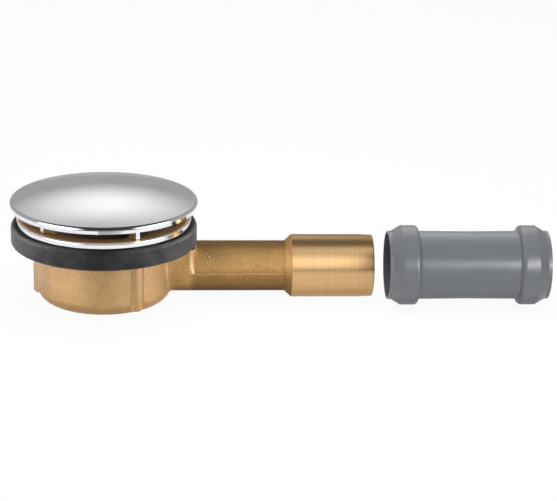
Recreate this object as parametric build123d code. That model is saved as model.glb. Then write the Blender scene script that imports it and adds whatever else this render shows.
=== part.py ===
from build123d import *
import math
import os

# Low shower waste: a cast cup with a side outlet, clamped through a shower tray under a domed cover,
# with the push-fit coupling of its outlet lying loose in front of the spigot.
# Millimetres, +Z up. The origin is on the cup's axis, on the plane that the cup stands on.
# The outlet runs along +X.

# Outlet of the casting
spigot_radius = 20.0
spigot_wall = 2.6
spigot_length = 52.0
spigot_lead_length = 9.0
spigot_lead_depth = 0.45
spigot_edge_round = 0.8
cone_length = 4.2
tube_radius = 16.0
tube_wall = 2.8
tube_length = 58.3
tube_root_round = 3.0
neck_reach = 56.2
neck_side_gap = 1.0
neck_crown = 0.1
neck_wall = 3.6
neck_hollow = 2.2
neck_edge_round = 3.0
neck_corner_round = 3.5
flash_height = 0.5
flash_thickness = 0.9

# Cup of the casting
cup_wall = 3.0
cup_floor = 3.5
cup_draft = 0.5
cup_corner = 8.0
ledge_width = 5.1
flange_width = 9.6
flange_thickness = 6.0
flare_round = 4.0
boss_radius = 5.0
boss_offset = 0.85
boss_foot = 3.0
boss_edge = 1.0
boss_root_round = 1.8
boss_tip_wall = 8.0

# Clamp through the tray
tray_hole_radius = 45.0
tray_hole_clearance = 0.5
clamp_seat_clearance = 0.4
clamp_neck_wall = 1.4
clamp_floor_thickness = 3.0
clamp_floor_gap = 0.5
clamp_throat_wall = 1.3
clamp_rim_overlap = 10.0
clamp_rim_thickness = 2.9
clamp_rim_width = 5.6
clamp_edge_round = 0.6
dish_slope_drop = 2.0

# Screws of the clamp
screw_count = 3
screw_first_angle = 60.0
screw_radius = 2.0
screw_head_radius = 3.75
screw_length = 18.0
screw_clearance = 0.12
screw_wall_gap = 0.3
screw_tip_chamfer = 0.5
screw_tip_room = 1.5
screw_slot_width = 1.0
screw_slot_depth = 0.9

# Rubber pieces
gasket_wrap = 4.1
gasket_top_lip = 3.8
gasket_bottom_lip = 3.1
gasket_boss_gap = 3.1
gasket_top_round = 2.6
gasket_bottom_round = 2.2
gasket_lip_round = 0.8
gasket_clearance = 0.15
gasket_neck_gap = 0.25
seal_thickness = 0.6
seal_inset = 1.4
o_ring_section = 0.95
o_ring_clearance = 0.06

# Trap insert
dip_tube_radius = 22.8
dip_tube_wall = 1.8
dip_tube_gap = 3.7
dip_flange_gap = 1.1
dip_flange_thickness = 1.8
dip_funnel_drop = 8.0
dip_collar_clearance = 0.35
dip_collar_wall = 1.6
trap_passage = 5.6
trap_wall = 1.6
trap_floor = 1.8
trap_weir_drop = 8.0
trap_corner = 4.0

# Cover
slot_height = 7.6
dome_overhang = 4.1
dome_lip_height = 3.65
dome_lip_wall = 2.0
dome_edge_round = 2.0
dome_rise = 7.55
dome_wall = 1.6
post_count = 5
post_first_angle = -65.0
post_overlap = 1.6
post_width = 2.6
post_depth = 11.0
carrier_base_height = 2.5
carrier_base_width = 3.8
carrier_head_height = 3.0
carrier_head_width = 7.0
carrier_clearance = 0.3
carrier_dome_clearance = 0.06

# Push-fit coupling, lying on its beads in front of the spigot
coupling_length = 102.2
coupling_bore_clearance = 0.2
coupling_wall = 1.4
coupling_draft = 0.25
coupling_stop_height = 1.7
coupling_stop_width = 3.0
bead_height = 3.6
bead_wall = 1.5
bead_width = 10.6
bead_cone = 6.0
bead_shoulder = 0.6
bead_outer_round = 1.0
bead_inner_round = 2.6
bead_root_round = 0.4
bead_groove_margin = 1.4
mouth_lip_length = 2.2
mouth_relief = 0.35
coupling_gap = 8.2
coupling_side_shift = -14.0
lip_seal_clearance = 0.1
lip_seal_pipe_clearance = 0.05
lip_seal_edge = 1.0
lip_seal_relief = 1.4

# Where the seam of the cup's wall runs, clear of the outlet and of the bosses
wall_seam_angle = 120.0

# How far a cutting body runs past the face that it opens
cut_past = 1.0

# Points nearer than this are the same point
same_place = 0.01

# Heights, from the floor up
outlet_height = spigot_radius
neck_top = outlet_height + tube_radius + neck_crown
gasket_bottom = neck_top + gasket_neck_gap
flange_underside = gasket_bottom + gasket_bottom_lip + gasket_clearance
body_height = flange_underside + flange_thickness
ledge_height = body_height - clamp_floor_thickness
clamp_floor_bottom = ledge_height + clamp_floor_gap
clamp_floor_top = clamp_floor_bottom + clamp_floor_thickness
gasket_top = body_height + gasket_top_lip
clamp_underside = gasket_top + seal_thickness
clamp_top = clamp_underside + clamp_rim_thickness
dish_slope_start = clamp_top - dish_slope_drop
screw_hole_bottom = clamp_floor_top - screw_length - screw_tip_room
trap_floor_top = cup_floor + trap_floor
trap_weir = clamp_floor_bottom - trap_weir_drop
o_ring_height = clamp_floor_bottom + clamp_floor_thickness / 2
dip_flange_top = clamp_floor_top + dip_flange_thickness
cover_seat = clamp_top + slot_height
dome_edge_height = cover_seat + dome_lip_height
dome_crown = dome_edge_height + dome_rise

# Radii, from the tray's hole inwards and outwards
clamp_neck_radius = tray_hole_radius - tray_hole_clearance
seat_radius = clamp_neck_radius + clamp_seat_clearance
cup_radius = seat_radius - ledge_width + cup_wall - cup_draft
dish_radius = clamp_neck_radius - clamp_neck_wall
screw_circle = dish_radius - screw_wall_gap - screw_head_radius
boss_circle = screw_circle + boss_offset
throat_radius = screw_circle - screw_head_radius - clamp_throat_wall
trap_radius = dip_tube_radius + trap_passage + trap_wall
flange_radius = seat_radius + flange_width
gasket_radius = flange_radius + gasket_wrap
clamp_rim_radius = tray_hole_radius + clamp_rim_overlap
dish_top_radius = clamp_rim_radius - clamp_rim_width
post_radius = dish_top_radius + post_overlap
dome_radius = clamp_rim_radius + dome_overhang
dome_sphere = (dome_radius**2 + dome_rise**2) / (2 * dome_rise)
coupling_bore = spigot_radius + coupling_bore_clearance
coupling_radius = coupling_bore + coupling_wall
bead_radius = coupling_radius + bead_height

# Stations along the outlet, and from the middle of the coupling
cone_start = neck_reach + tube_length
spigot_start = cone_start + cone_length
spigot_end = spigot_start + spigot_length
coupling_middle = spigot_end + coupling_gap + coupling_length / 2
bead_outer = coupling_length / 2 - mouth_lip_length - bead_cone
bead_inner = bead_outer - bead_width
groove_outer = bead_outer - bead_groove_margin
groove_inner = bead_inner + bead_groove_margin
groove_radius = bead_radius - bead_wall


def turned(corners, axis=Axis.Z):
    """Solid of revolution. A corner is (radius, height), or (along, radius) about X, then any rounding."""
    points = [corner[:2] for corner in corners]
    rounds = [corner[2] if len(corner) == 3 else 0 for corner in corners]
    outline = FilletPolyline(points, radius=rounds, close=True)
    return revolve(Plane.XZ * make_face(outline), axis=axis)


def upright(radius, low, high):
    """Cylinder about Z between two heights."""
    return Pos(0, 0, (low + high) / 2) * Cylinder(radius, high - low)


def block(low, high):
    """Box between its lowest and its highest corner."""
    size = [b - a for a, b in zip(low, high)]
    return Pos(*[(a + b) / 2 for a, b in zip(low, high)]) * Box(*size)


def around(count, first_angle, piece):
    """Copies of a piece turned evenly about Z."""
    return [Rot(0, 0, first_angle + 360 * i / count) * piece for i in range(count)]


def at_screws(piece):
    """Copies of a piece at the angles of the clamp screws."""
    return around(screw_count, screw_first_angle, piece)


def blended(first, second, radius):
    """Two solids joined, with a round in the corner between them."""
    joined = first + second
    return fillet(new_edges(first, second, combined=joined), radius)


def dome_height(radius, inset):
    """Height of the dome's spherical surface, or of one set in from it, at a radius."""
    return dome_crown - dome_sphere + math.sqrt((dome_sphere - inset) ** 2 - radius**2)


def meets_cup(corner):
    """True for a corner of the neck's plan that lies on the cup's wall."""
    return corner.X > 0 and abs(math.hypot(corner.X, corner.Y) - cup_radius) < same_place


def box_neck():
    """Upper half of the tube's root, boxed in up to the gasket, its end hollow towards the tube."""
    half_width = tube_radius + neck_side_gap
    half_height = (neck_top - outlet_height) / 2
    blank_reach = neck_reach + neck_hollow + cut_past
    plan = Circle(cup_radius) + Pos(blank_reach / 2, 0) * Rectangle(blank_reach, 2 * half_width)
    plan = fillet(plan.vertices().filter_by(meets_cup), neck_corner_round)
    neck = extrude(Pos(0, 0, outlet_height) * plan, 2 * half_height)
    hollow_radius = (half_height**2 + neck_hollow**2) / (2 * neck_hollow)
    hollow = Rot(90, 0, 0) * Cylinder(hollow_radius, 2 * (half_width + cut_past))
    neck = neck - Pos(neck_reach + hollow_radius, 0, outlet_height + half_height) * hollow
    end_edges = neck.edges().filter_by(GeomType.CIRCLE).sort_by(Axis.X)[-2:]
    return fillet(end_edges, neck_edge_round)


def flanged_cup():
    """Outside of the cup with its flange."""
    return turned(
        [
            (0, 0),
            (cup_radius, 0, cup_corner),
            (cup_radius + cup_draft, flange_underside, flare_round),
            (flange_radius, flange_underside),
            (flange_radius, body_height),
            (0, body_height),
        ]
    )


def blended_wall():
    """Cup's wall below the flange, with the outlet and the screw bosses blended into it."""
    wall = turned(
        [
            (0, 0),
            (cup_radius, 0, cup_corner),
            (cup_radius + cup_draft, flange_underside),
            (0, flange_underside),
        ]
    )
    outlet = turned(
        [
            (0, 0),
            (0, tube_radius),
            (cone_start, tube_radius),
            (spigot_start, spigot_radius),
            (spigot_end - spigot_lead_length, spigot_radius),
            (spigot_end, spigot_radius - spigot_lead_depth, spigot_edge_round),
            (spigot_end, 0),
        ],
        Axis.X,
    )
    boss = Pos(boss_circle, 0, 0) * upright(boss_radius, boss_foot, flange_underside)
    boss = chamfer(boss.edges().sort_by(Axis.Z)[0], boss_edge)
    wall = blended(Rot(0, 0, wall_seam_angle) * wall, Pos(0, 0, outlet_height) * outlet, tube_root_round)
    for placed_boss in at_screws(boss):
        wall = blended(wall, placed_boss, boss_root_round)
    return wall


def casting_outside():
    """Outside of the casting, with the mould's flash along the outlet."""
    flash_side = tube_radius + flash_height
    flash = block(
        (neck_reach - neck_edge_round, -flash_side, outlet_height - flash_thickness / 2),
        (spigot_start, flash_side, outlet_height + flash_thickness / 2),
    )
    return flanged_cup() + blended_wall() + box_neck() + flash


def casting_inside():
    """Water's way through the casting: cup with the clamp's seat, pocket of the neck, and outlet."""
    well = turned(
        [
            (0, cup_floor),
            (cup_radius - cup_wall, cup_floor, cup_corner - cup_wall),
            (cup_radius + cup_draft - cup_wall, ledge_height),
            (seat_radius, ledge_height),
            (seat_radius, body_height + cut_past),
            (0, body_height + cut_past),
        ]
    )
    tube_bore = tube_radius - tube_wall
    spigot_bore = spigot_radius - spigot_wall
    outlet = turned(
        [
            (0, 0),
            (0, tube_bore),
            (cone_start, tube_bore),
            (spigot_start, spigot_bore),
            (spigot_end + cut_past, spigot_bore),
            (spigot_end + cut_past, 0),
        ],
        Axis.X,
    )
    pocket = block(
        (0, -tube_bore, outlet_height),
        (neck_reach - neck_wall, tube_bore, neck_top - neck_wall),
    )
    return well + pocket + Pos(0, 0, outlet_height) * outlet


def waste_body():
    """One casting, with the screw bosses showing inside the cup too, and the spigot turned to size."""
    inner_boss = upright(boss_radius, screw_hole_bottom - boss_tip_wall, ledge_height)
    hole = upright(screw_radius + screw_clearance, screw_hole_bottom, ledge_height + cut_past)
    body = casting_outside() - casting_inside()
    body = body + at_screws(Pos(boss_circle, 0, 0) * inner_boss)
    return body - at_screws(Pos(screw_circle, 0, 0) * hole)


def tray_gasket():
    """Rubber ring of U section, wrapped over the rim of the casting's flange."""
    groove_side = flange_radius + gasket_clearance
    groove_bottom = flange_underside - gasket_clearance
    lip_bore = boss_circle + boss_radius + gasket_boss_gap
    return turned(
        [
            (tray_hole_radius, gasket_top),
            (gasket_radius, gasket_top, gasket_top_round),
            (gasket_radius, gasket_bottom, gasket_bottom_round),
            (lip_bore, gasket_bottom, gasket_lip_round),
            (lip_bore, groove_bottom),
            (groove_side, groove_bottom),
            (groove_side, body_height),
            (tray_hole_radius, body_height),
        ]
    )


def flange_seal():
    """Thin flat washer between the clamp flange and the tray."""
    washer = upright(clamp_rim_radius - seal_inset, gasket_top, clamp_underside)
    return washer - upright(tray_hole_radius, gasket_top, clamp_underside)


def screw_head(clearance):
    """Countersunk head or, with a clearance, its seat, its top face at height zero."""
    return turned(
        [
            (0, screw_radius - screw_head_radius),
            (screw_radius + clearance, screw_radius - screw_head_radius),
            (screw_head_radius + clearance, 0),
            (0, 0),
        ]
    )


def clamp_flange():
    """Chromed ring with a dished floor that the screws pull down onto the tray."""
    ring = turned(
        [
            (throat_radius, clamp_floor_bottom),
            (clamp_neck_radius, clamp_floor_bottom, clamp_edge_round),
            (clamp_neck_radius, clamp_underside),
            (clamp_rim_radius, clamp_underside),
            (clamp_rim_radius, clamp_top, clamp_edge_round),
            (dish_top_radius, clamp_top, clamp_edge_round),
            (dish_radius, dish_slope_start),
            (dish_radius, clamp_floor_top),
            (throat_radius, clamp_floor_top),
        ]
    )
    shank_hole = upright(screw_radius + screw_clearance, clamp_floor_bottom - cut_past, clamp_floor_top)
    hole = shank_hole + Pos(0, 0, clamp_floor_top) * screw_head(screw_clearance)
    return ring - at_screws(Pos(screw_circle, 0, 0) * hole)


def clamp_screws():
    """Slotted countersunk screws, one in each boss."""
    shank = upright(screw_radius, -screw_length, screw_radius - screw_head_radius)
    shank = chamfer(shank.edges().sort_by(Axis.Z)[0], screw_tip_chamfer)
    slot = block(
        (-screw_head_radius, -screw_slot_width / 2, -screw_slot_depth),
        (screw_head_radius, screw_slot_width / 2, 0),
    )
    screw = shank + screw_head(0) - slot
    return Compound(at_screws(Pos(screw_circle, 0, clamp_floor_top) * screw))


def dip_tube():
    """Funnel and tube of the trap, hung by its flange in the dish, with a groove for the O-ring."""
    bore = dip_tube_radius - dip_tube_wall
    foot = trap_floor_top + dip_tube_gap
    funnel_foot = clamp_floor_bottom - dip_funnel_drop
    collar = throat_radius - dip_collar_clearance
    groove = throat_radius - 2 * (o_ring_section + o_ring_clearance)
    groove_half = o_ring_section + o_ring_clearance
    flange = dish_radius - dip_flange_gap
    mouth = groove - dip_collar_wall
    return turned(
        [
            (bore, foot),
            (dip_tube_radius, foot),
            (dip_tube_radius, funnel_foot),
            (collar, clamp_floor_bottom),
            (collar, o_ring_height - groove_half),
            (groove, o_ring_height - groove_half),
            (groove, o_ring_height + groove_half),
            (collar, o_ring_height + groove_half),
            (collar, clamp_floor_top),
            (flange, clamp_floor_top),
            (flange, dip_flange_top),
            (mouth, dip_flange_top),
            (mouth, clamp_floor_bottom),
            (bore, funnel_foot),
        ]
    )


def dip_tube_o_ring():
    """Round-section ring between the dip tube and the throat of the clamp flange."""
    ring_radius = throat_radius - o_ring_clearance - o_ring_section
    section = Pos(ring_radius, o_ring_height) * Circle(o_ring_section)
    return revolve(Plane.XZ * section, axis=Axis.Z)


def trap_cup():
    """Cup that stands on the casting's floor round the dip tube and holds the water seal."""
    return turned(
        [
            (0, cup_floor),
            (trap_radius, cup_floor, trap_corner),
            (trap_radius, trap_weir),
            (trap_radius - trap_wall, trap_weir),
            (trap_radius - trap_wall, trap_floor_top, trap_corner - trap_wall),
            (0, trap_floor_top),
        ]
    )


def under_dome(clearance):
    """Everything below the inner face of the dome."""
    inset = dome_wall + clearance
    edge = dome_radius - dome_lip_wall - clearance
    corner = (edge, dome_height(edge, inset))
    middle = (edge / 2, dome_height(edge / 2, inset))
    top = (0, dome_height(0, inset))
    cap = ThreePointArc(corner, middle, top)
    walls = Polyline(top, (0, 0), (edge, 0), corner)
    return revolve(Plane.XZ * make_face([cap, walls]), axis=Axis.Z)


def cover_carrier():
    """Seating ring, posts and a head ring that hold the dome clear of the clamp flange."""
    side = dish_radius - carrier_clearance
    base_top = dip_flange_top + carrier_base_height
    base = upright(side, dip_flange_top, base_top)
    base = base - upright(side - carrier_base_width, dip_flange_top, base_top)
    foot = clamp_top + carrier_clearance
    inner = post_radius - post_depth
    post = make_face(
        Polyline(
            (inner, dip_flange_top),
            (side, dip_flange_top),
            (side, dish_slope_start + carrier_clearance),
            (dish_top_radius - carrier_clearance, foot),
            (post_radius, foot),
            (post_radius, dome_crown),
            (inner, dome_crown),
            close=True,
        )
    )
    post = extrude(Plane.XZ * post, post_width / 2, both=True)
    head_low = dome_height(post_radius, dome_wall) - carrier_head_height
    head_bore = post_radius - carrier_head_width
    head = upright(post_radius, head_low, dome_crown) - upright(head_bore, head_low, dome_crown)
    carrier = base + head + around(post_count, post_first_angle, post)
    return carrier & under_dome(carrier_dome_clearance)


def dome_cover():
    """Pressed dome with its edge turned down in a short lip."""
    rim = (dome_radius, dome_edge_height)
    crown = (0, dome_crown)
    top = ThreePointArc(crown, (dome_radius / 2, dome_height(dome_radius / 2, 0)), rim)
    lip = Polyline(rim, (dome_radius, cover_seat), (0, cover_seat), crown)
    blank = make_face([top, lip])
    edge = blank.vertices().sort_by_distance(rim)[0]
    blank = revolve(Plane.XZ * fillet(edge, dome_edge_round), axis=Axis.Z)
    return blank - under_dome(0)


def laid_down(piece):
    """A piece modelled about the coupling's middle, moved to where the coupling lies on its beads."""
    return Pos(coupling_middle, coupling_side_shift, bead_radius) * piece


def coupling_sleeve():
    """Double socket with a stop in the middle and a bead for a seal at each end."""
    half_length = coupling_length / 2
    stop = coupling_bore - coupling_stop_height
    mouth = coupling_bore + mouth_relief
    socket = turned(
        [
            (0, stop),
            (coupling_stop_width / 2, stop),
            (coupling_stop_width / 2, coupling_bore),
            (groove_inner, coupling_bore),
            (groove_inner, groove_radius),
            (groove_outer, groove_radius),
            (groove_outer, mouth),
            (half_length, mouth),
            (half_length, coupling_radius),
            (half_length - mouth_lip_length, coupling_radius),
            (bead_outer, bead_radius, bead_outer_round),
            (bead_inner, bead_radius, bead_inner_round),
            (bead_inner - bead_shoulder, coupling_radius, bead_root_round),
            (0, coupling_radius - coupling_draft),
        ],
        Axis.X,
    )
    return laid_down(socket + mirror(socket, Plane.YZ))


def coupling_seal():
    """Lip seal in the bead of the free end, its lip leaning inwards."""
    inner = groove_inner + lip_seal_clearance
    outer = groove_outer - lip_seal_clearance
    back = groove_radius - lip_seal_clearance
    lip = spigot_radius + lip_seal_pipe_clearance
    return turned(
        [
            (inner, back),
            (outer, back),
            (outer, coupling_bore + mouth_relief),
            (inner + 2 * lip_seal_edge, lip),
            (inner + lip_seal_edge, lip),
            (inner + lip_seal_edge, coupling_bore + lip_seal_relief),
            (inner, coupling_bore + lip_seal_relief),
        ],
        Axis.X,
    )


nodes = {
    "waste_body": waste_body(),
    "tray_gasket": tray_gasket(),
    "flange_seal": flange_seal(),
    "clamp_flange": clamp_flange(),
    "clamp_screws": clamp_screws(),
    "dip_tube": dip_tube(),
    "dip_tube_o_ring": dip_tube_o_ring(),
    "trap_cup": trap_cup(),
    "cover_carrier": cover_carrier(),
    "dome_cover": dome_cover(),
    "coupling_sleeve": coupling_sleeve(),
    "coupling_seal_inlet": laid_down(mirror(coupling_seal(), Plane.YZ)),
    "coupling_seal_outlet": laid_down(coupling_seal()),
}

os.makedirs("parts", exist_ok=True)
for name, solid in nodes.items():
    export_step(solid, f"parts/{name}.step")
    print(name, round(solid.volume), "mm3")
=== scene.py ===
# %% [markdown]
# A shower waste, dressed in its finishes.
# The measured model is loaded first and stays as it is: cast cup and outlet, clamp, gasket, trap, cover
# and coupling. Everything below adds surface, light and the last small marks of making. All lengths are
# in metres.

# %% Load the measured model
import math

import bmesh
import bpy
from mathutils import Matrix, Vector, noise


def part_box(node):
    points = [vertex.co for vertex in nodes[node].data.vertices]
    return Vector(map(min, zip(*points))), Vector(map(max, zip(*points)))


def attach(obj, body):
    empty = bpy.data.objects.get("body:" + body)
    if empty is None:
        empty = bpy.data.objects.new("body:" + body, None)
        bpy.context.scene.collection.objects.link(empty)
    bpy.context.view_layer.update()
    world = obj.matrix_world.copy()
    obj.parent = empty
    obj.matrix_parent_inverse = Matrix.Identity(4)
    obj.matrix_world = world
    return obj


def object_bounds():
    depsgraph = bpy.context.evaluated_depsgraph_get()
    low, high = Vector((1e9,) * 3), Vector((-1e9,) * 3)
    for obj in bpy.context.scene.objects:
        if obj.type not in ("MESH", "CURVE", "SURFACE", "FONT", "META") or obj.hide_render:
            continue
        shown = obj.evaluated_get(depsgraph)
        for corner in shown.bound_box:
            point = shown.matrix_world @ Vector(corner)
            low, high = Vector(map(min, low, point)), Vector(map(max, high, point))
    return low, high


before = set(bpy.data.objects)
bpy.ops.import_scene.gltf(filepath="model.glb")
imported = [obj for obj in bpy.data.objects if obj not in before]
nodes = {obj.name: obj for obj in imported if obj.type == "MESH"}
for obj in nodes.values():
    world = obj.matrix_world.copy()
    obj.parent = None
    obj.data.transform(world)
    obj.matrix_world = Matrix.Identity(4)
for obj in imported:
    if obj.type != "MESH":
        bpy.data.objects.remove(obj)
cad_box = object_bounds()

MM = 0.001
scene = bpy.context.scene
low_corner, high_corner = ([round(value, 4) for value in corner] for corner in cad_box)
print("loaded", len(nodes), "pieces, from", low_corner, "to", high_corner)

# %% [markdown]
# Shader trees are easier to read when a node, its settings and its links are made in one call. Every
# link could be written by hand instead, but the materials would then hide behind plumbing.

# %% Helpers: nodes and materials


def connect(tree, socket, value):
    """Set an input, or link it where the value is an output of another node."""
    if isinstance(value, bpy.types.NodeSocket):
        tree.links.new(value, socket)
    else:
        socket.default_value = value


def add(tree, kind, inputs=None, **settings):
    """A new node with its settings and its inputs."""
    made = tree.nodes.new(kind)
    for name, value in settings.items():
        setattr(made, name, value)
    for key, value in (inputs or {}).items():
        connect(tree, made.inputs[key], value)
    return made


def empty_material(name):
    """Material with only an output, and that output's surface."""
    material = bpy.data.materials.new(name)
    material.use_nodes = True
    tree = material.node_tree
    tree.nodes.clear()
    surface = add(tree, "ShaderNodeOutputMaterial").inputs["Surface"]
    return material, tree, surface


def new_material(name):
    """Material with a Principled shader, and the Object coordinates that it reads."""
    material, tree, surface = empty_material(name)
    shader = add(tree, "ShaderNodeBsdfPrincipled")
    tree.links.new(shader.outputs[0], surface)
    place = add(tree, "ShaderNodeTexCoord").outputs["Object"]
    return material, tree, shader, place


def feed(tree, shader, **sockets):
    """Links or values for a shader's inputs, with underscores for the spaces in their names."""
    for key, value in sockets.items():
        connect(tree, shader.inputs[key.replace("_", " ")], value)


def relief(tree, shader, height, depth):
    """Surface relief of a depth in metres, from a height between 0 and 1."""
    bump = add(tree, "ShaderNodeBump", {"Height": height, "Distance": depth, "Strength": 1.0})
    feed(tree, shader, Normal=bump.outputs[0])


print("helpers for nodes ready")

# %% [markdown]
# Most finishes here are two or three colours, parted by masks. A mask is a value from 0 to 1 that says
# how much of a finish lies at a place. It could be painted on an image, but these follow from measured
# sizes, so they are sums on the place of the surface, each softened over a short blur.

# %% Helpers: sums, masks and mixes


def calc(tree, operation, first, *others):
    """Result of one operation on two or more values, from the first to the last."""
    for value in others:
        first = add(tree, "ShaderNodeMath", {0: first, 1: value}, operation=operation).outputs[0]
    return first


def vector(tree, operation, first, second=(0, 0, 0)):
    """Outputs of one operation on vectors."""
    return add(tree, "ShaderNodeVectorMath", {0: first, 1: second}, operation=operation).outputs


def distance_from(tree, place, centre, shares):
    """Distance from a centre, in which X, Y and Z count by their shares."""
    apart = vector(tree, "SUBTRACT", place, centre)["Vector"]
    weighed = vector(tree, "MULTIPLY", apart, shares)["Vector"]
    return vector(tree, "LENGTH", weighed)["Value"]


def fade(tree, value, start, end):
    """Smooth step from 0 at start to 1 at end."""
    limits = {"Value": value, "From Min": start, "From Max": end}
    return add(tree, "ShaderNodeMapRange", limits, interpolation_type="SMOOTHSTEP").outputs["Result"]


def past(tree, value, limit, blur):
    """Mask of what lies past a limit, softened by a blur on both sides of it."""
    return fade(tree, value, limit - blur, limit + blur)


def short_of(tree, value, limit, blur):
    """Mask of what lies short of a limit, softened by a blur on both sides of it."""
    return fade(tree, value, limit + blur, limit - blur)


def span(tree, value, low, high):
    """A value from 0 to 1, spread from low to high."""
    limits = {"Value": value, "To Min": low, "To Max": high}
    return add(tree, "ShaderNodeMapRange", limits).outputs["Result"]


def mix_colour(tree, share, first, second):
    """Colour between two, by a share from 0 to 1. A plain colour is given as red, green and blue."""
    colours = {6: first, 7: second}
    for index, colour in colours.items():
        if not isinstance(colour, bpy.types.NodeSocket):
            colours[index] = (*colour, 1.0)
    return add(tree, "ShaderNodeMix", {0: share, **colours}, data_type="RGBA").outputs[2]


def mix_value(tree, share, first, second):
    """Number between two, by a share from 0 to 1."""
    return add(tree, "ShaderNodeMix", {0: share, 2: first, 3: second}).outputs[0]


print("helpers for masks ready")

# %% [markdown]
# Two effects come back in several finishes, so each is a node group, built once. The first is the
# cloudy unevenness of any real surface: one broad noise for colour, one fine noise for grain.

# %% Group: cloud and grain
noise_low = 0.3
noise_high = 0.7


def new_group(name, inputs, outputs):
    """Empty node group with inputs of given kinds and float outputs, and the sockets inside it."""
    group = bpy.data.node_groups.new(name, "ShaderNodeTree")
    for socket, kind in inputs.items():
        group.interface.new_socket(socket, in_out="INPUT", socket_type=kind)
    for socket in outputs:
        group.interface.new_socket(socket, in_out="OUTPUT", socket_type="NodeSocketFloat")
    return group, group.nodes.new("NodeGroupInput").outputs, group.nodes.new("NodeGroupOutput").inputs


def put_out_noise(group, output, inputs, **settings):
    """Noise for an output of a group, with its middle range spread from 0 to 1."""
    texture = add(group, "ShaderNodeTexNoise", inputs, **settings)
    group.links.new(fade(group, texture.outputs["Fac"], noise_low, noise_high), output)


cloud_inputs = {
    "Place": "NodeSocketVector",
    "Cloud Scale": "NodeSocketFloat",
    "Grain Scale": "NodeSocketFloat",
}
cloud_group, given, wanted = new_group("cloud_and_grain", cloud_inputs, ["Cloud", "Grain"])
for name, detail in (("Cloud", 3.0), ("Grain", 4.0)):
    scale = given[name + " Scale"]
    settings = {"Vector": given["Place"], "Scale": scale, "Detail": detail, "Roughness": 0.6}
    put_out_noise(cloud_group, wanted[name], settings)


def clouds(tree, place, cloud_scale, grain_scale):
    """Cloud and grain at a place, by their scales for a metre."""
    inputs = {"Place": place, "Cloud Scale": cloud_scale, "Grain Scale": grain_scale}
    return add(tree, "ShaderNodeGroup", inputs, node_tree=cloud_group).outputs


print("group", cloud_group.name, [socket.name for socket in cloud_group.interface.items_tree])

# %% [markdown]
# The second is the mark of a lathe: fine rings that change only along the turned axis, and broader
# bands where the tool's feed varied. A wave texture would give rings that are too even, so a noise of
# one dimension is used.

# %% Group: lathe rings
ring_inputs = {"Station": "NodeSocketFloat", "Pitch": "NodeSocketFloat"}
ring_group, given, wanted = new_group("lathe_rings", ring_inputs, ["Ring", "Band"])
per_ring = calc(ring_group, "DIVIDE", given["Station"], given["Pitch"])
for name, width, detail in (("Ring", 1.0, 2.0), ("Band", 9.0, 3.0)):
    settings = {"W": calc(ring_group, "DIVIDE", per_ring, width), "Scale": 1.0, "Detail": detail}
    put_out_noise(ring_group, wanted[name], settings, noise_dimensions="1D")


def lathe_rings(tree, station, pitch):
    """Rings and bands at a station along the turned axis, by the pitch of the rings."""
    inputs = {"Station": station, "Pitch": pitch}
    return add(tree, "ShaderNodeGroup", inputs, node_tree=ring_group).outputs


print("group", ring_group.name, [socket.name for socket in ring_group.interface.items_tree])

# %% [markdown]
# The body is one sand casting in brass, turned at its end to take the coupling. Its finish changes
# along the way: a lacquered cup, then a tube. Painted shade makes the casting browner near the floor,
# and darker on the tube's top and underside. Three places get a painted highlight: the ridge where the
# two halves of the mould met, the pimples above it and the edge where the neck ends. Separate materials
# would need cuts in the mesh, so masks part the zones, from the place along the outlet, the height, the
# distance to the outlet's axis and the way the surface faces.

# %% Zones of the casting
spigot_length = 52.0 * MM
cone_length = 4.2 * MM
spigot_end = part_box("waste_body")[1].x
spigot_start = spigot_end - spigot_length
tube_end = spigot_start - cone_length
tube_start = 56.2 * MM
tube_radius = 16.0 * MM
outlet_height = 20.0 * MM
foot_height = 16.0 * MM
cup_end = 43.0 * MM
cup_blur = 3.0 * MM
ridge_rise = 0.2 * MM
ridge_inset = 0.5 * MM
pimples_end = 68.75 * MM
pimples_height = outlet_height + 4.5 * MM
edge_start = tube_start - 2.4 * MM
edge_end = tube_start + 0.6 * MM


def casting_zones(tree, place):
    """Masks of the casting's zones, by their names."""
    along, _, up = add(tree, "ShaderNodeSeparateXYZ", {0: place}).outputs
    radius = distance_from(tree, place, (0, 0, outlet_height), (0, 1, 1))
    normal = add(tree, "ShaderNodeNewGeometry").outputs["Normal"]
    rise = add(tree, "ShaderNodeSeparateXYZ", {0: normal}).outputs["Z"]
    ridge = past(tree, radius, tube_radius + ridge_rise, 0.1 * MM)
    ridge_from = past(tree, along, tube_start + ridge_inset, ridge_inset)
    ridge_to = short_of(tree, along, tube_end - ridge_inset, ridge_inset)
    ridge = calc(tree, "MULTIPLY", ridge, ridge_from, ridge_to)
    pimples_to = short_of(tree, along, pimples_end, 0.25 * MM)
    pimples_above = past(tree, up, pimples_height, 0.5 * MM)
    edge_from = past(tree, along, edge_start, 0.8 * MM)
    edge_to = short_of(tree, along, edge_end, 0.4 * MM)
    edge_above = past(tree, up, outlet_height, 0.5 * MM)
    on_tube = fade(tree, along, tube_start - 4.0 * MM, tube_start + 3.0 * MM)
    on_outlet = past(tree, along, cup_end, cup_blur)
    return {
        "station": along,
        "turned": past(tree, along, spigot_start, 0.2 * MM),
        "cup": short_of(tree, along, cup_end, cup_blur),
        # Painted shade near the floor.
        "foot": fade(tree, up, foot_height, 0.0),
        # Painted shade under the tube.
        "underside": calc(tree, "MULTIPLY", short_of(tree, rise, 0.0, 0.30), on_tube),
        # Painted shade on the tube's top and underside.
        "painted_top_shade": calc(tree, "MULTIPLY", fade(tree, rise, 0.80, 1.08), on_outlet),
        "painted_bottom_shade": calc(tree, "MULTIPLY", fade(tree, rise, -0.35, -1.05), on_outlet),
        # The ridge, the pimples and the neck's edge carry a painted highlight.
        "ridge": ridge,
        "pimples": calc(tree, "MULTIPLY", ridge, pimples_to, pimples_above),
        "edge": calc(tree, "MULTIPLY", edge_from, edge_to, edge_above),
    }


print("casting turned from", round(spigot_start, 4), "to", round(spigot_end, 4))
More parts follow.
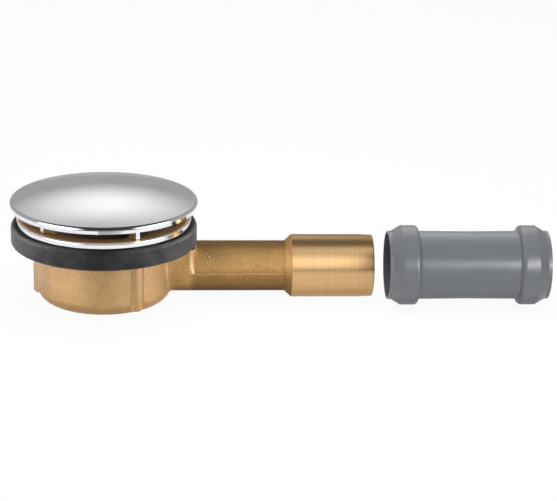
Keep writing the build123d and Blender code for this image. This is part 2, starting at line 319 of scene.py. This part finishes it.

# %% [markdown]
# Brass from a sand mould is dull and cloudy, with the fine grain of the sand. A few painted glints,
# bright flecks where a grain's face would catch the light, lie over it, and the painted shades and
# highlights of the zones are laid over it one after the other. All of them lie on the surface itself,
# so the casting keeps its colours whichever side it is seen from. The turned spigot is paler and
# changes only from band to band.

# %% Colours of the casting
cast_dark = (0.395, 0.220, 0.076)
cast_light = (0.665, 0.417, 0.168)
# Painted shade near the floor: browner and darker.
foot_shade_colour = (0.43, 0.212, 0.040)
# Painted shade under the tube.
underside_shade_colour = (0.17, 0.080, 0.022)
# Painted shade on the tube's top and underside.
top_and_bottom_shade_colour = (0.045, 0.020, 0.008)
# Painted highlight, for the glints, the ridge, the neck's edge and the pimples.
painted_highlight_colour = (0.80, 0.62, 0.40)
turned_dark = (0.685, 0.436, 0.205)
turned_light = (0.715, 0.466, 0.235)
grain_share = 0.7
cloud_share = 0.3
# Shares of the painted shade in each zone.
painted_shade_shares = {"foot": 0.38, "underside": 0.63, "painted_top_shade": 0.54, "painted_bottom_shade": 0.684}
# Shares of the painted highlight on the ridge, the neck's edge and the pimples.
painted_highlight_shares = {"ridge": 0.25, "edge": 0.5, "pimples": 0.9}
# Share of the painted glints.
glint_share = 0.5


def casting_colour(tree, zones, cloud, rings, painted_glint):
    """Colour of the casting, from its zones, its cloud and grain, its lathe rings and its painted glints.
    """
    grain_tone = calc(tree, "MULTIPLY", cloud["Grain"], grain_share)
    cloud_tone = calc(tree, "MULTIPLY", cloud["Cloud"], cloud_share)
    # Painted shade of the zones, each by its share.
    painted_shade = {zone: calc(tree, "MULTIPLY", zones[zone], share) for zone, share in painted_shade_shares.items()}
    # Painted shade on the tube's top and underside, together.
    top_and_bottom_shade = calc(tree, "ADD", painted_shade["painted_top_shade"], painted_shade["painted_bottom_shade"])
    # Painted highlight of the glints, the ridge, the neck's edge and the pimples.
    bright = calc(tree, "MULTIPLY", painted_glint, glint_share)
    for zone, share in painted_highlight_shares.items():
        bright = calc(tree, "MAXIMUM", bright, calc(tree, "MULTIPLY", zones[zone], share))
    colour = mix_colour(tree, calc(tree, "ADD", grain_tone, cloud_tone), cast_dark, cast_light)
    # Painted shade near the floor.
    colour = mix_colour(tree, painted_shade["foot"], colour, foot_shade_colour)
    # Painted shade under the tube.
    colour = mix_colour(tree, painted_shade["underside"], colour, underside_shade_colour)
    colour = mix_colour(tree, top_and_bottom_shade, colour, top_and_bottom_shade_colour)
    colour = mix_colour(tree, bright, colour, painted_highlight_colour)
    turned_colour = mix_colour(tree, rings["Band"], turned_dark, turned_light)
    return mix_colour(tree, zones["turned"], colour, turned_colour)


# The zones printed as rubbed carry a painted highlight.
print("colours for", len(painted_shade_shares), "tinted and", len(painted_highlight_shares), "rubbed zones of the casting")

# %% [markdown]
# One material holds all of this, because it is one piece of metal. The sand leaves a relief of about a
# tenth of a millimetre. The lathe leaves hardly any, but its rings stretch the highlight along the
# outlet, which is what anisotropy does around a given direction. A thin clear lacquer on the cup pales
# its highlights, as a coat.

# %% Finish: cast and turned brass
cast_relief = 0.09 * MM
ring_relief_share = 0.02
ring_stretch = 0.93
lacquer_weight = 0.75
outlet_way = (1, 0, 0)


def cast_brass():
    """Sand-cast brass with a turned spigot."""
    material, tree, shader, place = new_material("cast_brass")
    zones = casting_zones(tree, place)
    cloud = clouds(tree, place, cloud_scale=75.0, grain_scale=1500.0)
    rings = lathe_rings(tree, zones["station"], pitch=0.22 * MM)
    # Painted glints: a few cells of the sand grain are painted bright and made smoother.
    cells = add(tree, "ShaderNodeTexVoronoi", {"Vector": place, "Scale": 2400.0})
    cell_draw = add(tree, "ShaderNodeSeparateColor", {0: cells.outputs["Color"]}).outputs[0]
    painted_glint = fade(tree, cell_draw, 0.97, 0.995)

    cast_roughness = mix_value(tree, painted_glint, span(tree, cloud["Grain"], 0.62, 0.52), 0.35)
    turned_roughness = span(tree, rings["Ring"], 0.38, 0.42)
    roughness = mix_value(tree, zones["turned"], cast_roughness, turned_roughness)
    ring_height = calc(tree, "MULTIPLY", rings["Ring"], ring_relief_share)
    relief(tree, shader, mix_value(tree, zones["turned"], cloud["Grain"], ring_height), cast_relief)
    colour = casting_colour(tree, zones, cloud, rings, painted_glint)
    feed(tree, shader, Base_Color=colour, Roughness=roughness, Metallic=1.0)

    turning = {"vector_type": "VECTOR", "convert_from": "OBJECT", "convert_to": "WORLD"}
    tangent = add(tree, "ShaderNodeVectorTransform", {0: outlet_way}, **turning).outputs[0]
    stretch = calc(tree, "MULTIPLY", zones["turned"], ring_stretch)
    feed(tree, shader, Anisotropic=stretch, Tangent=tangent)
    lacquer = calc(tree, "MULTIPLY", zones["cup"], lacquer_weight)
    feed(tree, shader, Coat_Weight=lacquer, Coat_Roughness=0.36, Coat_IOR=1.8)
    return material


brass = cast_brass()
print("brass with", len(brass.node_tree.nodes), "nodes")

# %% [markdown]
# Cover, carrier and clamp flange are chromed brass. Chrome is thrown on from outside and stays thin
# within, so the hidden inner faces keep the warm tone of the metal under it: a dull brass, half matte.
# On the clamp's rim a painted reflection pales it outwards, to a golden line and then to a white band,
# before the chromed edge. A distance from a centre tells inside from outside: from the axis for the
# ring-shaped pieces, and from the centre of its sphere for the dome. Past a certain radius all is
# chromed, which keeps the dome's lip bright.

# %% Finish: chrome over brass
chrome_light = (0.855, 0.855, 0.885)
chrome_dark = (0.825, 0.825, 0.855)
bare_brass = (0.42, 0.245, 0.115)
# Painted reflection on the clamp's rim: a golden line, then a white band.
painted_gold_line = (0.94, 0.72, 0.45)
painted_white_band = (0.95, 0.94, 0.92)
bare_metal = 0.4
axis_foot = (0, 0, 0)
across_axis = (1, 1, 0)
all_ways = (1, 1, 1)
out_of_reach = 1.0


def chrome_plate(
    name,
    centre,
    ways,
    bare_within,
    plated_past=out_of_reach,
    pale_past=out_of_reach,
    white_past=out_of_reach,
):
    """Chrome, with bare brass nearer to a centre than a distance, but none past a radius from the axis.

    The ways are the shares of X, Y and Z in the distance. Past distances of their own the bare brass is
    painted pale, and then white, as a painted reflection.
    """
    material, tree, shader, place = new_material(name)
    distance = distance_from(tree, place, centre, ways)
    radius = distance_from(tree, place, axis_foot, across_axis)
    outside = past(tree, distance, bare_within, 0.2 * MM)
    plated = calc(tree, "MAXIMUM", outside, past(tree, radius, plated_past, 0.1 * MM))
    # Painted reflection: the bare brass turns pale, then white, towards the clamp's edge.
    pale = past(tree, distance, pale_past, 0.2 * MM)
    white = past(tree, distance, white_past, 0.3 * MM)
    cloud = clouds(tree, place, cloud_scale=45.0, grain_scale=2600.0)
    rings = lathe_rings(tree, distance, pitch=0.3 * MM)
    chrome_colour = mix_colour(tree, cloud["Cloud"], chrome_dark, chrome_light)
    bare_colour = mix_colour(tree, pale, bare_brass, painted_gold_line)
    bare_colour = mix_colour(tree, white, bare_colour, painted_white_band)
    colour = mix_colour(tree, plated, bare_colour, chrome_colour)
    chrome_roughness = span(tree, cloud["Cloud"], 0.06, 0.09)
    bare_roughness = span(tree, rings["Ring"], 0.30, 0.42)
    roughness = mix_value(tree, plated, bare_roughness, chrome_roughness)
    metal = mix_value(tree, plated, mix_value(tree, white, bare_metal, 0.0), 1.0)
    relief(tree, shader, cloud["Grain"], 0.002 * MM)
    feed(tree, shader, Base_Color=colour, Roughness=roughness, Metallic=metal)
    return material


print("chrome ready")

# %% [markdown]
# The three chromed pieces differ only in where the plating ends, so one function serves them. The clamp
# and the carrier are plated on their outermost edge, and the dome on the outer half of its wall and on
# its lip. The centre of the dome's sphere follows from its radius and its rise.

# %% Chrome of the clamp, the carrier and the dome
clamp_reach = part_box("clamp_flange")[1].x
post_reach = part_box("cover_carrier")[1].x
dome_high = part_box("dome_cover")[1]
dome_radius = dome_high.x
dome_wall = 1.6 * MM
dome_lip_wall = 2.0 * MM
dome_rise = 7.55 * MM
dome_sphere = (dome_radius**2 + dome_rise**2) / (2 * dome_rise)
dome_centre = (0.0, 0.0, dome_high.z - dome_sphere)
plating_depth = 0.1 * MM
chrome_clamp = chrome_plate(
    "chrome_clamp",
    axis_foot,
    across_axis,
    bare_within=clamp_reach - 0.25 * MM,
    # The golden line and the white band of painted reflection on the clamp's rim.
    pale_past=clamp_reach - 2.4 * MM,
    white_past=clamp_reach - 0.8 * MM,
)
chrome_carrier = chrome_plate("chrome_carrier", axis_foot, across_axis, bare_within=post_reach - 0.6 * MM)
chrome_dome = chrome_plate(
    "chrome_dome",
    dome_centre,
    all_ways,
    bare_within=dome_sphere - dome_wall / 2 - plating_depth,
    plated_past=dome_radius - dome_lip_wall + 0.3 * MM,
)
print("chrome for the clamp, the carrier and the dome, whose sphere measures", round(dome_sphere, 4))

# %% [markdown]
# The gasket, the flat washer, the O-ring and the lip seals are black rubber: nearly matte, with the
# faint mottling of moulding powder. Next to the clamp the gasket gets a painted shadow, a near black
# band where the clamp meets it. Rubber has no sharp gloss, so the roughness stays high.

# %% Finish: black rubber
rubber_dark = (0.020, 0.020, 0.021)
rubber_light = (0.054, 0.053, 0.056)
# Painted shadow next to the clamp.
rubber_shadow = (0.004, 0.004, 0.004)
shadow_reach = clamp_reach + 2.0 * MM
shadow_blur = 0.5 * MM


def black_rubber():
    """Moulded rubber, matte and slightly mottled, with a painted shadow next to the clamp."""
    material, tree, shader, place = new_material("black_rubber")
    radius = distance_from(tree, place, axis_foot, across_axis)
    # Painted shadow: near black on the gasket next to the clamp.
    painted_shadow = short_of(tree, radius, shadow_reach, shadow_blur)
    cloud = clouds(tree, place, cloud_scale=80.0, grain_scale=2200.0)
    colour = mix_colour(tree, cloud["Cloud"], rubber_dark, rubber_light)
    colour = mix_colour(tree, painted_shadow, colour, rubber_shadow)
    roughness = span(tree, cloud["Cloud"], 0.50, 0.66)
    relief(tree, shader, cloud["Grain"], 0.03 * MM)
    feed(tree, shader, Base_Color=colour, Roughness=roughness, Specular_IOR_Level=0.3)
    return material


rubber = black_rubber()
# The reach printed here is the edge of the painted shadow next to the clamp.
print("rubber for the gasket and the seals, clean within", round(shadow_reach, 4))

# %% [markdown]
# The coupling is grey polypropylene and the trap a brown plastic, both satin, with long faint flow
# lines from the mould. Stretching the noise along the piece makes those lines without any drawing by
# hand.

# %% Finish: grey and brown plastic
grey_dark = (0.148, 0.157, 0.172)
grey_light = (0.170, 0.180, 0.196)
trap_dark = (0.17, 0.125, 0.080)
trap_light = (0.22, 0.165, 0.110)
along_sleeve = (0.12, 1.0, 1.0)
along_trap = (1.0, 1.0, 0.2)


def moulded_plastic(name, dark, light, stretch):
    """Satin plastic with flow lines along one axis, whose share in the pattern is small."""
    material, tree, shader, place = new_material(name)
    stretched = add(tree, "ShaderNodeMapping", {"Vector": place, "Scale": stretch}).outputs[0]
    flow = clouds(tree, stretched, cloud_scale=70.0, grain_scale=260.0)
    fine = clouds(tree, place, cloud_scale=300.0, grain_scale=3000.0)
    colour = mix_colour(tree, flow["Cloud"], dark, light)
    roughness = span(tree, flow["Grain"], 0.29, 0.35)
    relief(tree, shader, fine["Grain"], 0.012 * MM)
    feed(tree, shader, Base_Color=colour, Roughness=roughness)
    return material


trap_plastic = moulded_plastic("trap_plastic", trap_dark, trap_light, along_trap)
grey_plastic = moulded_plastic("grey_plastic", grey_dark, grey_light, along_sleeve)
print("plastic for the trap and the coupling")

# %% [markdown]
# The clamp screws are stainless steel, turned like the spigot, so the lathe rings serve them too.

# %% Finish: stainless steel
steel_dark = (0.46, 0.455, 0.445)
steel_light = (0.62, 0.615, 0.605)


def stainless():
    """Satin stainless steel with rings along the screws."""
    material, tree, shader, place = new_material("stainless")
    up = add(tree, "ShaderNodeSeparateXYZ", {0: place}).outputs["Z"]
    rings = lathe_rings(tree, up, pitch=0.2 * MM)
    colour = mix_colour(tree, rings["Band"], steel_dark, steel_light)
    roughness = span(tree, rings["Ring"], 0.24, 0.36)
    relief(tree, shader, rings["Ring"], 0.01 * MM)
    feed(tree, shader, Base_Color=colour, Roughness=roughness, Metallic=1.0)
    return material


steel = stainless()
print("steel for the clamp screws")

# %% [markdown]
# Each piece of the model takes its finish by name. The meshes are left alone: only their material slots
# change.

# %% Dress the pieces
finishes = {
    "waste_body": brass,
    "tray_gasket": rubber,
    "flange_seal": rubber,
    "dip_tube_o_ring": rubber,
    "coupling_seal_inlet": rubber,
    "coupling_seal_outlet": rubber,
    "clamp_flange": chrome_clamp,
    "cover_carrier": chrome_carrier,
    "dome_cover": chrome_dome,
    "clamp_screws": steel,
    "dip_tube": trap_plastic,
    "trap_cup": trap_plastic,
    "coupling_sleeve": grey_plastic,
}
for name, material in finishes.items():
    nodes[name].data.materials.clear()
    nodes[name].data.materials.append(material)
print("dressed", len(finishes), "of", len(nodes), "pieces")

# %% [markdown]
# Sand castings keep a few pimples where grains broke out of the mould. Four stand close together on the
# tube's upper front, near the cup. Relief in the shader would not catch the light from the side as they
# do, so they are small lumps of their own, half sunk in the wall, each a ball of facets pushed out of
# round by noise.

# %% Casting pimples
# Each pimple: millimetres along the outlet, degrees from upright towards the front, millimetres across.
pimples = (
    (61.9, 56.6, 0.9),
    (64.8, 44.7, 0.8),
    (65.9, 50.4, 1.2),
    (66.8, 58.7, 1.0),
)
pimple_height_share = 0.5
pimple_seed_step = 7.3
lump_wander = 0.5
lump_pattern = 1.4


def lump(shape, place, outward, width, height, seed):
    """Small lump out of round, half sunk in the surface at a place."""
    turn = Vector(outward).to_track_quat("Z", "Y").to_matrix().to_4x4()
    fit = Matrix.Translation(place) @ turn @ Matrix.Diagonal((width / 2, width / 2, height, 1.0))
    for vertex in bmesh.ops.create_icosphere(shape, subdivisions=3, radius=1.0)["verts"]:
        push = 1.0 + lump_wander * noise.noise(vertex.co * lump_pattern + Vector((seed, 0.0, 0.0)))
        vertex.co = fit @ (vertex.co * push)


def object_from(name, shape):
    """Object in the scene, from a shape that is given up."""
    mesh = bpy.data.meshes.new(name)
    shape.to_mesh(mesh)
    shape.free()
    made = bpy.data.objects.new(name, mesh)
    scene.collection.objects.link(made)
    return made


def riding_piece(name, shape, material):
    """Smooth piece from a shape, dressed and riding on the object."""
    made = object_from(name, shape)
    made.data.polygons.foreach_set("use_smooth", [True] * len(made.data.polygons))
    made.data.materials.append(material)
    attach(made, "root")
    return made


shape = bmesh.new()
for seed, (station, angle, width) in enumerate(pimples):
    outward = Vector((0.0, -math.sin(math.radians(angle)), math.cos(math.radians(angle))))
    place = Vector((station * MM, 0.0, outlet_height)) + outward * tube_radius
    lump(shape, place, outward, width * MM, width * pimple_height_share * MM, pimple_seed_step * seed)
pimple_piece = riding_piece("casting_pimples", shape, brass)
print("pimples on the casting:", len(pimples))

# %% [markdown]
# The gasket keeps the stub of rubber by which it was pulled from its mould, low on its upper edge. It
# is one more lump, of the kind that makes the pimples.

# %% Mould pip of the gasket
pip_angle = 51.7
pip_drop = 2.4 * MM
pip_width = 1.3 * MM
pip_height = 0.5 * MM
pip_seed = 3.0
gasket_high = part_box("tray_gasket")[1]
outward = Vector((math.sin(math.radians(pip_angle)), -math.cos(math.radians(pip_angle)), 0.0))
place = outward * gasket_high.x + Vector((0.0, 0.0, gasket_high.z - pip_drop))
shape = bmesh.new()
lump(shape, place, outward, pip_width, pip_height, pip_seed)
pip_piece = riding_piece("gasket_pip", shape, rubber)
print("pip on the gasket at", [round(value, 4) for value in place])

# %% [markdown]
# The photograph stands on plain white. A wide pale floor gives that ground and keeps a soft shadow:
# most of what the camera sees of it is an even white, and the rest is the floor as the light finds it.
# Polished metal sees that white too, but less of it, so that the floor under the outlet is darker in
# the metal than the open floor. A floor would hide the object in a view from below, so its back is
# clear.

# %% Floor
floor_size = 6.0
floor_drop = 0.1 * MM
floor_white = (0.93, 0.93, 0.93, 1.0)
plain_white = (1, 1, 1, 1)
even_for_camera = 0.94
even_for_metal = 0.40


def stage_mesh(name, shape):
    """Object of the stage, from a shape that is given up."""
    made = object_from(name, shape)
    return made


def pale_floor():
    """Wide floor under the object."""
    shape = bmesh.new()
    bmesh.ops.create_grid(shape, x_segments=1, y_segments=1, size=floor_size / 2)
    bmesh.ops.translate(shape, verts=shape.verts, vec=(0.0, 0.0, -floor_drop))
    made = stage_mesh("floor", shape)
    material, tree, surface = empty_material("pale_floor")
    matte = add(tree, "ShaderNodeBsdfDiffuse", {"Color": floor_white})
    white = add(tree, "ShaderNodeEmission", {"Color": plain_white, "Strength": 1.0})
    clear = add(tree, "ShaderNodeBsdfTransparent")
    ray = add(tree, "ShaderNodeLightPath").outputs
    for_camera = calc(tree, "MULTIPLY", ray["Is Camera Ray"], even_for_camera)
    mirrored = calc(tree, "MAXIMUM", ray["Is Glossy Ray"], ray["Is Transmission Ray"])
    share = calc(tree, "ADD", for_camera, calc(tree, "MULTIPLY", mirrored, even_for_metal))
    both = add(tree, "ShaderNodeMixShader", {0: share, 1: matte.outputs[0], 2: white.outputs[0]})
    from_below = add(tree, "ShaderNodeNewGeometry").outputs["Backfacing"]
    sides = {0: from_below, 1: both.outputs[0], 2: clear.outputs[0]}
    tree.links.new(add(tree, "ShaderNodeMixShader", sides).outputs[0], surface)
    made.data.materials.append(material)
    return made


floor = pale_floor()
print("floor", floor_size, "m wide")

# %% [markdown]
# Polished metal is only as good as what it mirrors. The world is a grey studio painted by direction:
# even at the back and the sides, dark overhead and in front, where the photographer stands. That dark
# draws the line along the dome's front edge. The camera itself sees plain white, so that low views
# stand on white as well. A picture of a real studio would do this too, but a few sums are easier to
# adjust.

# %% Studio room
room_low = 0.384
room_high = 0.056
room_front = 0.048
overhead_start = 0.70
overhead_full = 0.86
front_inner = math.radians(30.0)
front_outer = math.radians(60.0)
front_way = (0, -1, 0)


def studio_world():
    """Grey room, dark overhead and in front, and white for the camera."""
    world = bpy.data.worlds.new("studio")
    world.use_nodes = True
    tree = world.node_tree
    tree.nodes.clear()
    towards = add(tree, "ShaderNodeTexCoord").outputs["Generated"]
    up = add(tree, "ShaderNodeSeparateXYZ", {0: towards}).outputs["Z"]
    overhead = fade(tree, up, overhead_start, overhead_full)
    level_way = vector(tree, "MULTIPLY", towards, across_axis)["Vector"]
    level_way = vector(tree, "NORMALIZE", level_way)["Vector"]
    forward = vector(tree, "DOT_PRODUCT", level_way, front_way)["Value"]
    front = fade(tree, forward, math.cos(front_outer), math.cos(front_inner))
    level = mix_value(tree, front, span(tree, overhead, room_low, room_high), room_front)
    level = mix_value(tree, add(tree, "ShaderNodeLightPath").outputs["Is Camera Ray"], level, 1.0)
    background = add(tree, "ShaderNodeBackground", {"Color": plain_white, "Strength": level})
    add(tree, "ShaderNodeOutputWorld", {"Surface": background.outputs[0]})
    return world


scene.world = studio_world()
scene.view_settings.view_transform = "Standard"
print("room", scene.world.name, "from", room_high, "overhead to", room_low, "around")

# %% [markdown]
# Lamps with hard edges would show as hard patches in the chrome, so the lights are cards that glow from
# the middle and fade to nothing at their edges. The camera sees none of them. A card can be kept for
# some pieces, and it can be kept from matte or from polished surfaces: a matte one takes its brightness
# from all of a light, while a polished one mirrors its outline, and a studio sets the two apart with
# flags and filters.

# %% Cards of the studio


def card(name, place, aim, half_sizes):
    """Rectangular card at a place, turned towards a point, that the camera does not see."""
    shape = bmesh.new()
    bmesh.ops.create_grid(shape, x_segments=1, y_segments=1, size=1.0)
    turn = (Vector(place) - Vector(aim)).to_track_quat("Z", "Y").to_matrix().to_4x4()
    made = stage_mesh(name, shape)
    made.matrix_world = Matrix.Translation(place) @ turn @ Matrix.Diagonal((*half_sizes, 1.0, 1.0))
    made.visible_camera = False
    made.visible_shadow = False
    return made


def light_card(name, place, aim, half_sizes, core, level, lit=(), for_matte=True, for_gloss=True):
    """Glowing card, even within its core's share of the half sizes and faded out at its edge.

    It lights the pieces that are named as lit, or everything.
    """
    made = card(name, place, aim, half_sizes)
    made.visible_diffuse = for_matte
    made.visible_glossy = for_gloss
    material, tree, surface = empty_material(name)
    spot = add(tree, "ShaderNodeTexCoord").outputs["Object"]
    from_middle = vector(tree, "LENGTH", spot)["Value"]
    strength = calc(tree, "MULTIPLY", fade(tree, from_middle, 1.0, core), level)
    glow = add(tree, "ShaderNodeEmission", {"Strength": strength})
    clear = add(tree, "ShaderNodeBsdfTransparent")
    both = add(tree, "ShaderNodeAddShader", {0: glow.outputs[0], 1: clear.outputs[0]})
    tree.links.new(both.outputs[0], surface)
    made.data.materials.append(material)
    if lit:
        chosen = bpy.data.collections.new("lit_by_" + name)
        for piece in lit:
            chosen.objects.link(piece)
        made.light_linking.receiver_collection = chosen
    return made


def grey_card(name, place, half_sizes, tone):
    """Card of an even grey that lies flat and that only polished surfaces see."""
    made = card(name, place, Vector(place) - Vector((0.0, 0.0, 1.0)), half_sizes)
    made.visible_diffuse = False
    material, tree, surface = empty_material(name)
    even = add(tree, "ShaderNodeEmission", {"Strength": tone})
    tree.links.new(even.outputs[0], surface)
    made.data.materials.append(material)
    return made


print("cards ready")

# %% [markdown]
# The coupling looks as if it was photographed by itself, and rubber needs far more light than chrome to
# show its form. So the pieces are lit in groups, and each group gets the light that shows it best.

# %% Groups of pieces
casting = [nodes["waste_body"], pimple_piece]
metal = [nodes[name] for name in ("clamp_flange", "cover_carrier", "dome_cover", "clamp_screws")]
sleeve = [nodes[name] for name in ("coupling_sleeve", "coupling_seal_inlet", "coupling_seal_outlet")]
gasket = [nodes["tray_gasket"], nodes["flange_seal"], pip_piece]
trap = [nodes[name] for name in ("dip_tube", "dip_tube_o_ring", "trap_cup")]
print("lit in groups:", sum(len(group) for group in (casting, metal, sleeve, gasket, trap)), "pieces")

# %% [markdown]
# One card behind and above the set makes the soft patch on the dome. A large one at each side lights
# the flanks of the cup and the white rims of the chrome. The coupling has a small bright card in front
# for its sheen and a broad one behind, both for its gloss alone.

# %% Lights of the chrome and the coupling
light_card("back_light", (-0.006, 0.47, 0.375), (0.0, -0.03, 0.068), (0.265, 0.235), 0.05, 0.74)
light_card("left_light", (-0.50, -0.37, 0.23), (0.0, 0.0, 0.12), (0.42, 0.55), 0.05, 6.3, casting + metal)
light_card("right_light", (0.72, -0.38, 0.24), (0.16, 0.0, 0.12), (0.45, 0.55), 0.05, 8.2, casting + metal)
sleeve_front = {"place": (0.45, -0.45, 0.177), "aim": (0.25, -0.03, 0.03), "half_sizes": (0.10, 0.11)}
sleeve_back = {"place": (0.25, 0.42, 0.45), "aim": (0.25, 0.0, 0.04), "half_sizes": (0.40, 0.36)}
light_card("sleeve_light", **sleeve_front, core=0.1, level=57.0, lit=sleeve, for_matte=False)
light_card("sleeve_back_light", **sleeve_back, core=0.1, level=1.9, lit=sleeve, for_matte=False)
print("chrome and coupling lit")

# %% [markdown]
# The turned spigot shows bright and dark bands along its length. The bright ones are two high cards,
# one over each end of the set, and a weak broad one straight above the outlet. The gasket has a strong
# card at each side, a little behind it, so that its ends are light and its middle stays dark.

# %% Lights of the spigot and the gasket
over_outlet = (0.115, 0.0, 0.025)
gasket_middle = (0.0, 0.0, 0.045)
high_sizes = (0.28, 0.52)
gasket_sizes = (0.2, 0.3)
light_card("high_left_light", (-0.36, -0.10, 0.50), over_outlet, high_sizes, 0.1, 2.55, casting)
light_card("high_right_light", (0.59, -0.10, 0.50), over_outlet, high_sizes, 0.1, 2.55, casting)
spigot_above = {"place": (0.145, 0.11, 0.55), "aim": (0.145, 0.0, 0.03), "half_sizes": (0.30, 0.22)}
light_card("spigot_light", **spigot_above, core=0.4, level=0.15, lit=casting, for_matte=False)
light_card("gasket_left_light", (-0.45, 0.06, 0.20), gasket_middle, gasket_sizes, 0.05, 18.0, gasket)
light_card("gasket_right_light", (0.45, 0.06, 0.20), gasket_middle, gasket_sizes, 0.05, 17.0, gasket)
print("spigot and gasket lit")

# %% [markdown]
# Matte surfaces need light from the camera's side and from above, or the front of the cup and the floor
# would be grey. In the chrome these two lights would be patches, so polished surfaces don't see them.

# %% Fill light and top light
fill_front = {"place": (0.20, -0.95, 0.36), "aim": (0.10, 0.0, 0.055), "half_sizes": (0.30, 0.12)}
top_above = {"place": (0.09, 0.0, 0.90), "aim": (0.09, 0.0, 0.0), "half_sizes": (0.70, 0.60)}
filled = casting + metal + sleeve + trap + [floor]
light_card("fill_light", **fill_front, core=0.1, level=27.0, lit=filled, for_gloss=False)
light_card("top_light", **top_above, core=0.3, level=4.5, for_gloss=False)

# %% [markdown]
# Grey cards lie on the floor behind the set and in front of it, as photographers lay them, to keep the
# edges of the metal from melting into the white ground. The smallest and darkest shows as a dark bar in
# the dome's lip.

# %% Grey cards
grey_card("back_card", (0.1, 1.75, 0.002), (1.6, 1.5), tone=0.46)
grey_card("front_card", (0.15, -0.54, 0.002), (0.7, 0.26), tone=0.03)
grey_card("camera_card", (0.034, -0.250, 0.003), (0.055, 0.030), tone=0.42)
grey_card("bar_card", (0.034, -0.268, 0.004), (0.055, 0.014), tone=0.02)
grey_card("cup_card", (0.0, -0.115, 0.002), (0.04, 0.05), tone=0.50)

# %% [markdown]
# The camera stands in front of the cup, a little above, and turns towards the middle of the set. Its
# place and length were worked out from the outlines of the dome, the cup, the outlet and the coupling.

# %% Camera
frame_width = 557
focal_pixels = 2050.0
sensor_width = 36.0
camera_place = Vector((28.3, -1233.1, 458.3)) * MM
camera_elevation = math.radians(19.156)
camera_turn = math.radians(3.614)
lens = bpy.data.cameras.new("camera")
lens.sensor_fit = "HORIZONTAL"
lens.sensor_width = sensor_width
lens.lens = focal_pixels / frame_width * sensor_width
lens.clip_start = 0.05
lens.clip_end = 20.0
camera = bpy.data.objects.new("camera", lens)
tilt = Matrix.Rotation(math.pi / 2 - camera_elevation, 4, "X")
turn = Matrix.Rotation(-camera_turn, 4, "Y")
camera.matrix_world = Matrix.Translation(camera_place) @ tilt @ turn
scene.collection.objects.link(camera)
scene.camera = camera
print("camera with a lens of", round(lens.lens, 1), "mm")
